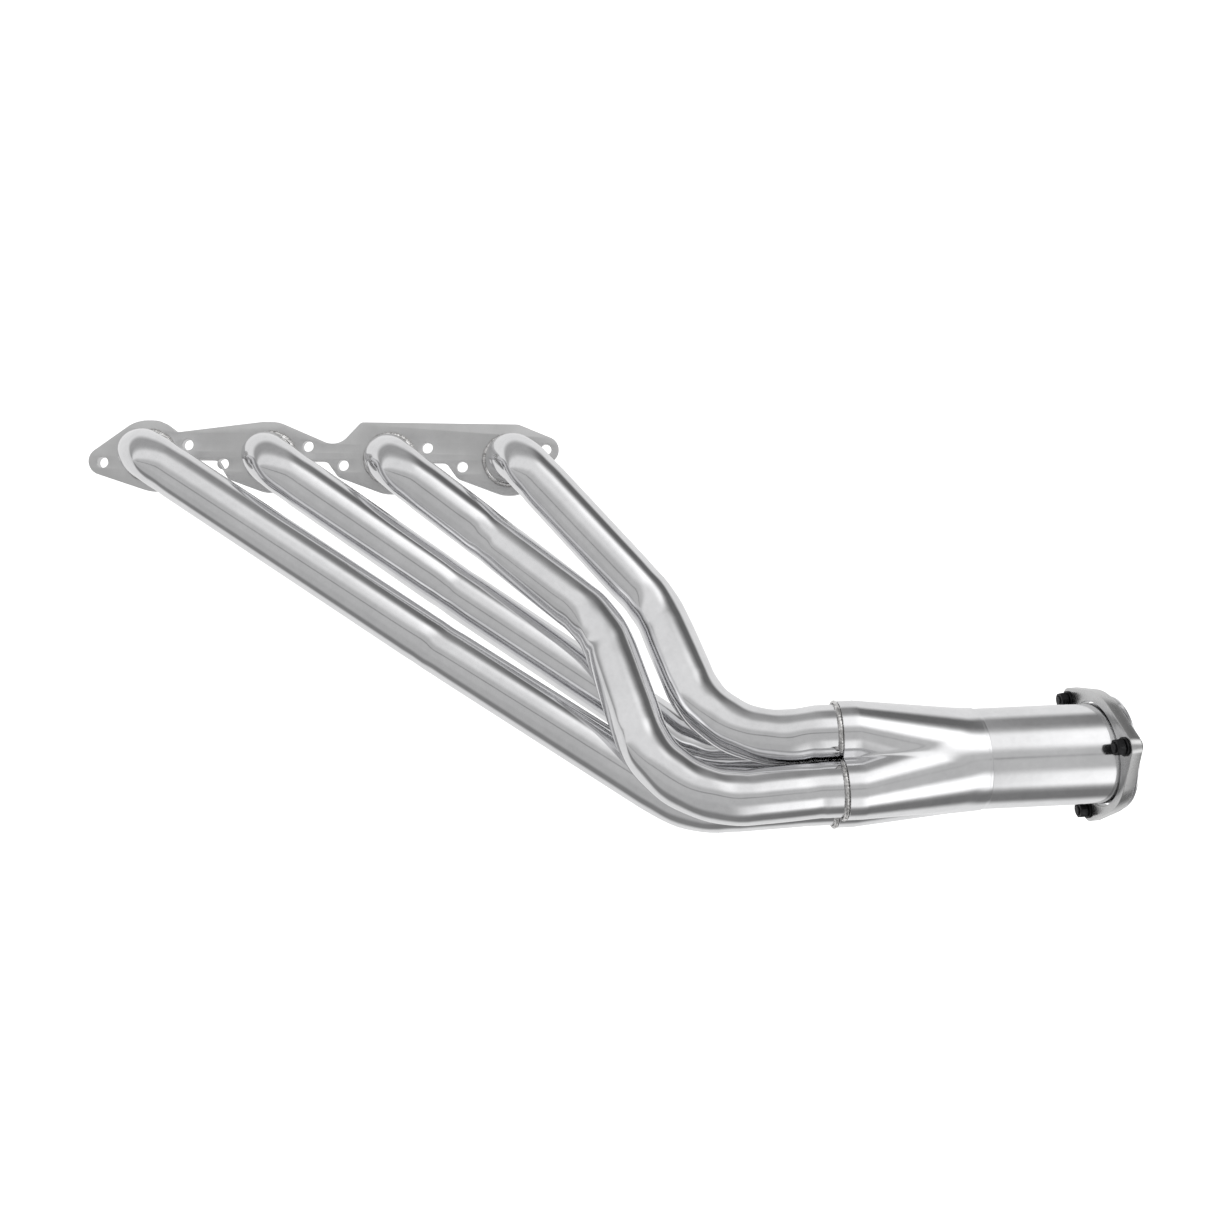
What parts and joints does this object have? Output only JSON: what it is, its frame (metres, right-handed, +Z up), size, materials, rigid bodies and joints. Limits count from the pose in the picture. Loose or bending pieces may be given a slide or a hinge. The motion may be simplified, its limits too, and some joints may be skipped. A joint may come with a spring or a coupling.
{
  "type": "exhaust manifold",
  "caption": "Long-tube exhaust manifold: a drilled head flange, separate bent primary tubes, a merge collector and a loose bolted outlet flange.",
  "frame": {"origin": "on the head flange's mating face, half way between ports 2 and 3, at the mean height of the bolt holes", "axes": "+X along the row of ports towards the outlet, +Y out of the mating face into the cylinder head, +Z up"},
  "size_m": [0.9844, 0.2704, 0.3927],
  "materials": {
    "polished_stainless": "mirror-polished stainless steel with faint drawing lines",
    "satin_plate": "satin grey stainless plate, laser cut",
    "machined_flange": "machined and lightly brushed",
    "weld_metal": "as-welded beads, lightly polished",
    "black_fastener": "matte black oxide"
  },
  "bodies": {
    "manifold": {"head_flange": "satin_plate", "primary_tube_1": "polished_stainless", "primary_tube_2": "polished_stainless", "primary_tube_3": "polished_stainless", "primary_tube_4": "polished_stainless", "port_weld_1": "weld_metal", "port_weld_2": "weld_metal", "port_weld_3": "weld_metal", "port_weld_4": "weld_metal", "collector_body": "polished_stainless", "collector_weld_1": "weld_metal", "collector_weld_2": "weld_metal", "collector_weld_3": "weld_metal", "collector_weld_4": "weld_metal", "collector_centre_plug": "polished_stainless", "collector_seam_weld": "weld_metal", "collector_outlet_tube": "polished_stainless"},
    "outlet_flange": {"collector_flange": "machined_flange", "flange_bolt_1": "black_fastener", "flange_nut_1": "black_fastener", "flange_washer_1": "black_fastener", "flange_bolt_2": "black_fastener", "flange_nut_2": "black_fastener", "flange_washer_2": "black_fastener", "flange_bolt_3": "black_fastener", "flange_nut_3": "black_fastener", "flange_washer_3": "black_fastener"}
  },
  "joints": [
    {"name": "outlet_flange_swivel", "type": "hinge", "parent": "manifold", "child": "outlet_flange", "pos_m": [0.72471, -0.20282, -0.27998], "axis": [0.9979, -0.0322, 0.0558], "continuous": true}
  ]
}
